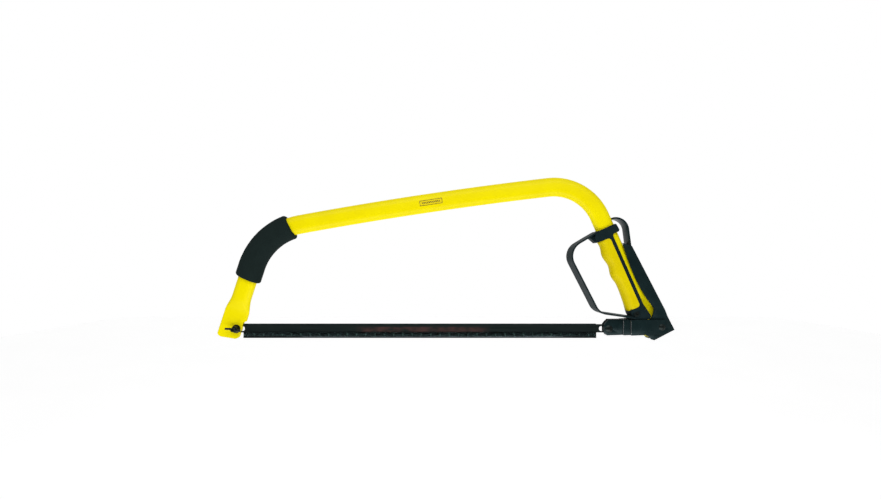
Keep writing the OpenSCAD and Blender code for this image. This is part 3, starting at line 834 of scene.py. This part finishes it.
def strap():
    """The strap's section, carried along its path. It starts as narrow as the upper collar."""
    half, edge = STRAP_W / 2, 0.9
    corners = [(0, -half, edge), (0, half, edge), (-STRAP_T, half, edge), (-STRAP_T, -half, edge)]
    section = rounded(corners, 4)
    rings = []
    for i, p in enumerate(strap_path()):
        share = GRIP_HALF / half + (1 - GRIP_HALF / half) * min(1, i / 4)
        rings.append([across(p, u, v * share) for u, v in section])
    return loft("strap", rings)


def guard():
    """The knuckle guard: two collars, a rail along each side and the strap, in one moulding."""
    upper = rounded([(-17, 177.5, 2), (15, 178, 2.5), (16.2, 166.5, 2), (14, 164.3, 1.5),
                     (RAIL_HALF, 164.3, 4), (RAIL_HALF, 150, 0), (-RAIL_HALF, 150, 0),
                     (-RAIL_HALF, 160.8, 7), (-24, 161.2, 1.5), (-25, 172, 2)])
    gusset = rounded([(-20, 161.3, 0), (-25, 161.3, 1), (-31.5, 174.5, 2), (-20, 177, 0)])
    lower = rounded([(-20, 40.5, 1), (-RAIL_HALF, 40, 0), (-RAIL_HALF, 56, 0), (RAIL_HALF, 56, 0),
                     (RAIL_HALF, 46.5, 3), (7.5, 20.5, 1), (4.5, 17.4, 0), (0, 14.5, 0),
                     (-15, 11, 0), (-20.8, 14.5, 1), (-20.8, 24.5, 1), (-19, 27.5, 1),
                     (-20.6, 34, 2)])
    round_r = 6
    foot = [(RAIL_HALF, 36), (RAIL_HALF, 50)]
    foot += [*arc(-RAIL_HALF - round_r, 47.3, round_r, 0, -95, 8), (-19, 41.5), (-19, 36)]
    rail = [(-RAIL_HALF, 40), (RAIL_HALF, 40), (RAIL_HALF, 158), (-RAIL_HALF, 158)]
    tube_core = loft("core", tube_rings(-0.05)[:60])
    top = prism("upper", beside(TUBE_A, upper), -GRIP_HALF, GRIP_HALF)
    web = prism("gusset", beside(TUBE_A, gusset), -GUSSET_HALF, GUSSET_HALF)
    low = prism("lower", beside(TUBE_A, lower), -LOW_HALF, LOW_HALF)
    heel = prism("heel", beside(TUBE_A, foot), -GRIP_HALF, GRIP_HALF)
    sides = prism("rails", beside(TUBE_A, rail), -GRIP_HALF, GRIP_HALF)
    ribs = [rib(place, length, y) for place, length in RIBS for y in (-1, 1)]
    rear = prism("rear", beside(TUBE_A, [(8, 150), (30, 150), (30, 190), (8, 190)]), -7, 7)
    screw = beside(TUBE_A, [SCREW_AT])[0]
    body = join("knuckle_guard_moulding", top, web, low, heel, sides, strap(), *ribs)
    fuse(body, 0.55, 3)
    lever_room, screw_hole, wide = 17, 2.5, 20
    cut(body, tube_core, rear, rod(lever_room, PIVOT, -wide, wide),
        rod(screw_hole, screw, -wide, wide))
    return dress(shade(body, 45), "frame", NYLON, ["knuckle_guard"])


# The ribs on the lower collar: the middle of each beside and along the tube, and its length.
RIBS = (((-2.2, 31.5), 14.8), ((-3, 37.5), 9))
RIB_TILT = radians(26)


def rib(place, length, side):
    """A sloping rib that stands a little proud of the lower collar."""
    half, thick = length / 2, 0.8
    along = Vector((cos(RIB_TILT), sin(RIB_TILT)))
    over = Vector((-sin(RIB_TILT), cos(RIB_TILT)))
    corners = [Vector(place) + a * half * along + b * thick * over
               for a, b in ((-1, -1), (1, -1), (1, 1), (-1, 1))]
    outline = rounded([(*c, 0.6) for c in corners])
    y = sorted((side * (LOW_HALF - 1), side * (LOW_HALF + 0.5)))
    return prism("rib", beside(TUBE_A, outline), *y)


def guard_fasteners():
    """The cap screw through the lower collar, and its nut."""
    centre = beside(TUBE_A, [SCREW_AT])[0]
    low = -LOW_HALF
    profile = [(0, low - 0.8), (1.5, low - 0.8), (1.5, low - 1.9), (2.2, low - 2), (4, low - 1.7),
               (4.5, low - 1.1), (4.6, low - 0.3), (4.4, low), (2.5, low), (2.5, 14.3),
               (2.2, 14.5), (0, 14.5)]
    screw = lathe("guard_cap_screw", profile, centre, 48)
    dress(shade(screw), "frame", BLACK_STEEL, ["guard_screw"])
    nut = like_cad("guard_hex_nut", "guard_nut", 0.35)
    dress(shade(nut), "frame", BLACK_STEEL, ["guard_nut"])


# ---------------------------------------------------------------- lever and link

def dome_profile(radius, height, face, steps=10):
    """A domed head that faces -Y, from its crown to the plate."""
    ball = (radius ** 2 + height ** 2) / (2 * height)
    reach = atan2(radius, ball - height)
    points = []
    for i in range(steps + 1):
        a = reach * i / steps
        points.append((ball * sin(a), -face - height + ball * (1 - cos(a))))
    return points


def domed_rivet(name, centre, shank, head, face):
    """A rivet with a dome at each end; the head is the dome's radius and height."""
    near = dome_profile(*head, face)
    far = [(r, -y) for r, y in reversed(near)]
    return lathe(name, [*near, (shank, -face), (shank, face), *far], centre)


# The link's two steps: how far each is behind the blade's pin, and its inner and outer face from
# the saw's middle. Their painted highlights run from below the pin to above it.
STEPS = ((21.8, 4.6, 8.5), (32.1, 8.5, 12.4))
HIGHLIGHT_BELOW, HIGHLIGHT_ABOVE = 8.6, 14.6


def painted_step_highlights():
    """Painted highlights on the link's two steps: zinc strips that stand in for the light their
    bends catch.
    """
    low, high = PIN[1] - HIGHLIGHT_BELOW, PIN[1] + HIGHLIGHT_ABOVE
    highlight_strips = []
    for step, inner, outer in STEPS:
        x = PIN[0] + step
        corners = [(x - 0.12, inner + 0.8), (x - 0.12, outer - 0.6),
                   (x + 0.3, outer - 0.2), (x + 0.5, inner + 0.8)]
        for side in (-1, 1):
            ends = [[(cx, side * cy, z) for cx, cy in corners] for z in (low, high)]
            highlight_strips.append(loft("mark", ends))
    # Zinc strips as painted highlights where the link's bent steps would catch the light.
    return dress(shade(join("painted_link_step_highlights", *highlight_strips), 30), "link", ZINC)


def hinge_parts():
    """The lever, the link plates, and the rivets, bush and spacers of their joints."""
    lever = like_cad("pressed_tension_lever", "tension_lever", 0.45)
    dress(shade(lever, 40), "lever", ENAMEL, ["tension_lever"])
    for side in ("near", "far"):
        plate = like_cad("pressed_link_" + side, "link_plate_" + side, 0.7)
        dress(shade(plate, 40), "link", ENAMEL, ["link_plate_" + side])

    # Painted highlights on the link's steps, made of zinc strips.
    painted_step_highlights()

    profile = [(0, -8.4), (3.2, -8.45), (5.2, -8.4), (4, -7), (4, 7), (5.2, 8.4), (3.2, 8.45),
               (0, 8.4)]
    rivet = lathe("pivot_flush_rivet", profile, PIVOT)
    dress(shade(rivet), "lever", ZINC, ["pivot_rivet"])
    rivet = domed_rivet("link_domed_rivet", LINK, 3.5, (5.2, 1.8), 11.15)
    dress(shade(rivet, 40), "lever", BLACK_STEEL, ["link_rivet"])
    pin = domed_rivet("blade_domed_pin", PIN, 2.5, (6, 2), 4.6)
    dress(shade(pin, 40), "link", BLACK_STEEL, ["blade_pin"])
    for name, node, body in (
        ("pivot_bearing_bush", "pivot_bush", "frame"),
        ("pivot_spacer_rings", "pivot_spacers", "frame"),
        ("link_spacer_tube", "link_spacer", "lever"),
        ("pin_spacer_rings", "pin_spacers", "link"),
    ):
        part = like_cad(name, node, 0.2)
        dress(shade(part), body, ZINC, [node])


# ---------------------------------------------------------------- blade and cover

TOOTH_COUNT = BODY_LEN // TOOTH_PITCH


def tooth(i):
    """A tooth's middle along the body, and the side it leans to: -1, 1, or 0 for a raker."""
    return (i - (TOOTH_COUNT - 1) / 2) * TOOTH_PITCH, (-1, 1, 0)[i % 3]


def blade_outline(side):
    """The toothed body from one side. Teeth are set and ground near, far and not, in turn."""
    tip_half, raker_drop, grind, grind_rise = 0.12, 0.4, 0.75, 1.3
    points = [(-BODY_LEN / 2, BLADE_TOP, 0), (-BODY_LEN / 2, GULLET, 0)]
    for i in range(TOOTH_COUNT):
        x, lean = tooth(i)
        ground = grind if lean == side else 0
        tip = (0 if lean else raker_drop) - TOOTH_TIP + grind_rise * ground
        points.append((x - TOOTH_HALF + ground, GULLET, 0))
        points.append((x - tip_half, tip, lean * TOOTH_SET))
        points.append((x + tip_half, tip, lean * TOOTH_SET))
        points.append((x + TOOTH_HALF - ground, GULLET, 0))
    points += [(BODY_LEN / 2, GULLET, 0), (BODY_LEN / 2, BLADE_TOP, 0)]
    return points


def blade():
    """The toothed body, with a slotted tang at each end."""
    rings = [[(BODY_MID + x, side * BLADE_T / 2 + lean, z) for x, z, lean in blade_outline(side)]
             for side in (-1, 1)]
    piece = loft("coarse_tooth_blade", rings)
    lap, slot_reach = 6, (SLOT_L - SLOT_H) / 2
    for side in (-1, 1):
        tip, root = BLADE_MID + side * BLADE_LEN / 2, BODY_MID + side * (BODY_LEN / 2 - lap)
        corners = [(root, TANG_LOW, 0), (tip, TANG_LOW, 2), (tip, TANG_LOW + TANG_H, 2),
                   (root, TANG_LOW + TANG_H, 0)]
        tang = prism("tang", rounded(corners), -BLADE_T / 2, BLADE_T / 2)
        weld = piece.modifiers.new("weld", "BOOLEAN")
        weld.operation = "UNION"
        weld.object = tang
        settle(piece)
        bpy.data.objects.remove(tang)
        hub = BLADE_MID + side * SLOT_AT
        slot = arc(hub + slot_reach, 0, SLOT_H / 2, -90, 90, 18)
        slot += arc(hub - slot_reach, 0, SLOT_H / 2, 90, 270, 18)
        cut(piece, prism("slot", slot, -3, 3))
    return dress(shade(piece, 20), "frame", BLUED, ["blade"])


def ground_bevels_painted_glints():
    """The ground faces on the set teeth, on the side that each tooth leans to, bright as painted
    glints.
    """
    proud, thick, tip = 0.06, 0.25, GULLET - TOOTH_DEPTH + 0.9
    facets = []
    for i in range(TOOTH_COUNT):
        place, lean = tooth(i)
        if lean == 0:
            continue
        x, face = BODY_MID + place, lean * BLADE_T / 2
        root, point = face + lean * proud, face + lean * (TOOTH_SET + proud)
        front = [(x - TOOTH_HALF, root, GULLET), (x + TOOTH_HALF, root, GULLET), (x, point, tip)]
        back = [(px, y - lean * thick, pz) for px, y, pz in front]
        facets.append(loft("facet", [front, back]))
    piece = join("ground_tooth_bevels_painted_glints", *facets)
    return dress(shade(piece, 20), "frame", GROUND_STEEL_GLINT)


def tooth_cover():
    """The clip-on strip over the teeth."""
    piece = like_cad("smoky_tooth_cover", "blade_cover", 0.25)
    return dress(shade(piece), "tooth_cover", SMOKE, ["blade_cover"])


# ---------------------------------------------------------------- front bolt

def thread(name, centre, radius, pitch, y0, y1, segments=40):
    """A threaded shank: its radius follows a triangle wave that climbs round it."""
    steps, depth = int(abs(y1 - y0) / pitch * 10), 0.55
    rings = []
    for k in range(steps + 1):
        y = y0 + (y1 - y0) * k / steps
        ring = []
        for i in range(segments):
            wave = abs((y / pitch - i / segments) % 1 * 2 - 1)
            r = radius - depth * wave * min(1, 0.25 + abs(y - y0) / pitch)
            a = 2 * pi * i / segments
            ring.append((centre[0] + r * cos(a), y, centre[1] + r * sin(a)))
        rings.append(ring)
    return loft(name, rings)


def front_fasteners():
    """The front bolt and its two washers."""
    face, tip = FLAT_T / 2 + 1.2, -14.7
    head = [(r, -y) for r, y in reversed(dome_profile(7, 3.4, face))]
    shank = lathe("shank", [(0, -2), (3, -2), (3, face), *head], (0, 0))
    bolt = join("front_blade_bolt", shank, thread("thread", (0, 0), 2.98, 1, tip, -1.9))
    dress(shade(bolt, 40), "frame", BLACK_STEEL, ["front_bolt"])
    washer = like_cad("bolt_plain_washer", "bolt_washer", 0.25)
    dress(shade(washer), "frame", ZINC, ["bolt_washer"])
    washer = like_cad("nut_plain_washer", "nut_washer", 0.25)
    dress(shade(washer), "washer", BLACK_STEEL, ["nut_washer"])


# How far the wings are turned from level.
WING_TILT = radians(9)


def wing(side, base):
    """One upswept wing of the nut, which grows from a hub with its foot at base."""
    c, s = cos(WING_TILT), sin(WING_TILT)
    count, round_from = 14, 0.85
    rings = []
    for i in range(count + 1):
        k = i / count
        reach = 3 + 9.6 * k
        low, high = base - 1 - 6.4 * k ** 1.3, base - 5.8 - 4.9 * k
        if k > round_from:
            pinch = (k - round_from) / 0.15
            low, high = low - 1.2 * pinch, high + 1.0 * pinch
        thick = 1.65 + 0.15 * sin(pi * k)
        ring = []
        for a in range(0, 360, 15):
            x, z = side * reach, thick * sin(radians(a))
            y = (low + high) / 2 + (low - high) / 2 * cos(radians(a))
            ring.append((x * c + z * s, y, z * c - x * s))
        rings.append(ring)
    return loft("wing", rings)


def wing_nut():
    """A cast wing nut: a tapered hub and two upswept wings with round tips."""
    base = -FLAT_T / 2 - 1.3
    profile = [(0, base), (5.2, base), (5.6, base - 0.5), (4.7, base - 5.4), (4.2, base - 6),
               (0, base - 6)]
    hub = lathe("hub", profile, (0, 0), 48)
    wings = [wing(side, base) for side in (-1, 1)]
    piece = fuse(join("cast_wing_nut", hub, *wings), 0.3, 6)
    cut(piece, rod(3.05, (0, 0), -20, 0))
    return dress(shade(piece, 50), "nut", BLACK_STEEL, ["wing_nut"])


# ---------------------------------------------------------------- studio

# The floor: how far it runs back and to each side, its front edge and its depth below the bolt.
FLOOR_SIZE, FLOOR_FRONT, FLOOR_DROP = 6.0, -0.3, 0.9


def studio_floor():
    """A pale floor well below the saw, which ends a little in front of it."""
    ground = bpy.data.meshes.new("studio_floor")
    size, front, level = FLOOR_SIZE, FLOOR_FRONT, BOLT.z - FLOOR_DROP
    corners = [(-size, front, level), (size, front, level), (size, size, level),
               (-size, size, level)]
    ground.from_pydata(corners, [], [(0, 1, 2, 3)])
    floor = bpy.data.objects.new("studio_floor", ground)
    scene.collection.objects.link(floor)
    m = Nodes("pale_floor")
    cloud = m.ramp(m.noise(2, 3), 0.3, 0.7)
    m.set(Base_Color=m.blend(cloud, (0.93, 0.93, 0.93), (0.95, 0.95, 0.95)))
    m.set(Roughness=0.7, Emission_Color=(1, 1, 1, 1), Emission_Strength=0.45)
    ground.materials.append(m.material)


def surround():
    """White to the camera. As a light it fades behind the viewer and towards both sides."""
    world = bpy.data.worlds.new("white_surround")
    scene.world = world
    world.use_nodes = True
    tree = world.node_tree
    tree.nodes.clear()

    def node(kind):
        return tree.nodes.new(kind)

    def fade(value, *limits):
        """Maps a range of the value to another range."""
        ramp = node("ShaderNodeMapRange")
        tree.links.new(value, ramp.inputs["Value"])
        for key, limit in zip(("From Min", "From Max", "To Min", "To Max"), limits):
            ramp.inputs[key].default_value = limit
        return ramp.outputs["Result"]

    direction = node("ShaderNodeSeparateXYZ")
    tree.links.new(node("ShaderNodeTexCoord").outputs["Generated"], direction.inputs[0])
    sides, both = node("ShaderNodeMath"), node("ShaderNodeMath")
    sides.operation, both.operation = "ABSOLUTE", "MULTIPLY"
    tree.links.new(direction.outputs["X"], sides.inputs[0])
    tree.links.new(fade(direction.outputs["Y"], -0.8, -0.5, 0.03, 0.75), both.inputs[0])
    tree.links.new(fade(sides.outputs[0], 0.45, 0.9, 1.0, 0.4), both.inputs[1])
    around, seen = node("ShaderNodeBackground"), node("ShaderNodeBackground")
    around.inputs["Color"].default_value = (1, 1, 1, 1)
    seen.inputs["Color"].default_value = (1, 1, 1, 1)
    tree.links.new(both.outputs[0], around.inputs["Strength"])
    mix, path = node("ShaderNodeMixShader"), node("ShaderNodeLightPath")
    out = node("ShaderNodeOutputWorld")
    tree.links.new(path.outputs["Is Camera Ray"], mix.inputs["Fac"])
    tree.links.new(around.outputs[0], mix.inputs[1])
    tree.links.new(seen.outputs[0], mix.inputs[2])
    tree.links.new(mix.outputs[0], out.inputs["Surface"])


def strip_lights():
    """Two long soft lights, below and above the viewer, that the camera doesn't see."""
    length, target = 1.5, Vector((0, 0, -0.1))
    for name, place, width, power in (
        ("low_strip_light", (-0.05, -0.6, -0.66), 0.4, 6.0),
        ("high_strip_light", (-0.05, -0.75, 0.55), 0.5, 6.2),
    ):
        data = bpy.data.lights.new(name, "AREA")
        data.shape, data.size, data.size_y, data.energy = "RECTANGLE", length, width, power
        light = bpy.data.objects.new(name, data)
        light.location = place
        light.rotation_euler = (target - Vector(place)).to_track_quat("-Z", "Y").to_euler()
        light.visible_camera = False
        scene.collection.objects.link(light)


# The viewer stands this far from the saw, sees this width of its plane and faces this place in
# it. The middle of the frame is a little to one side.
VIEW_DISTANCE, VIEW_WIDTH, VIEW_CENTRE = 580, 1427, (338, 107.7)
FRAME_CENTRE, SENSOR = (329.1, 128.0), 36


def camera():
    """The camera at the viewer's place, level and square to the saw, with its frame shifted."""
    data = bpy.data.cameras.new("side_view")
    data.sensor_width = SENSOR
    data.lens = SENSOR * VIEW_DISTANCE / VIEW_WIDTH
    data.shift_x = (FRAME_CENTRE[0] - VIEW_CENTRE[0]) / VIEW_WIDTH
    data.shift_y = (FRAME_CENTRE[1] - VIEW_CENTRE[1]) / VIEW_WIDTH
    data.clip_start = 0.01
    piece = bpy.data.objects.new("side_view", data)
    piece.location = to_frame([(VIEW_CENTRE[0], -VIEW_DISTANCE, VIEW_CENTRE[1])])[0]
    piece.rotation_euler = (pi / 2, 0, 0)
    scene.collection.objects.link(piece)
    scene.camera = piece


camera()
studio_floor()
surround()
strip_lights()
scene.view_settings.view_transform = "Standard"

tube()
foam_sleeve()
label()
grip_cover(-1, "grip_shell_near", "grip_cover_near")
grip_cover(1, "grip_shell_far", "grip_cover_far")
guard()
guard_fasteners()
hinge_parts()
blade()
# Ground bevels on the teeth, which also paint the teeth's glints.
ground_bevels_painted_glints()
tooth_cover()
front_fasteners()
wing_nut()
